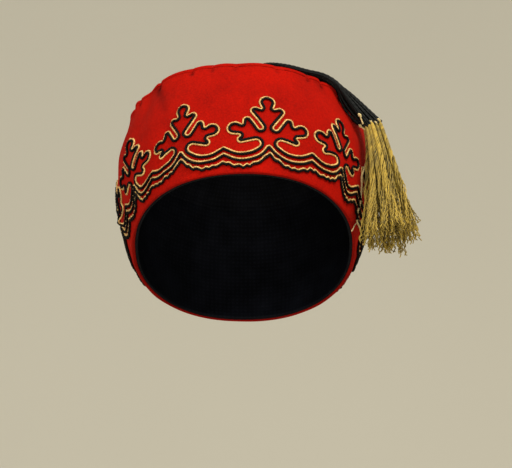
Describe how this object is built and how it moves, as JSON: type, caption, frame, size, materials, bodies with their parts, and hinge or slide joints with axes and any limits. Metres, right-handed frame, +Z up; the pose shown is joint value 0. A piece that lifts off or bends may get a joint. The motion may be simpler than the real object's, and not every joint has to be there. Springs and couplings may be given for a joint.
{
  "type": "smoking cap with tassel",
  "caption": "Soft round felt smoking cap with a gathered domed crown, couched braid leaves round the band, a dark lining and a thread tassel that hangs from a skein over the crown.",
  "frame": {"origin": "middle of the rim's opening, in the plane of the rim, where the cap sits on a head", "axes": "+Z up through the crown, -Y the front, +X the wearer's left, where the tassel hangs"},
  "size_m": [0.2038, 0.2036, 0.1598],
  "materials": {
    "red_felt": "matte milled wool felt",
    "dark_lining": "closely woven dark lining cloth",
    "gold_cord": "twisted gold-coloured silk cord",
    "black_silk": "black twisted silk threads",
    "gold_thread": "crinkled old-gold silk threads"
  },
  "bodies": {
    "root": {"side_band": "red_felt", "crown_top": "red_felt", "lining": "dark_lining", "leaf_braid": "gold_cord", "middle_braid": "gold_cord", "lower_braid": "gold_cord", "crown_button": "black_silk", "tassel_skein": "black_silk", "tassel": "gold_thread"}
  },
  "joints": []
}
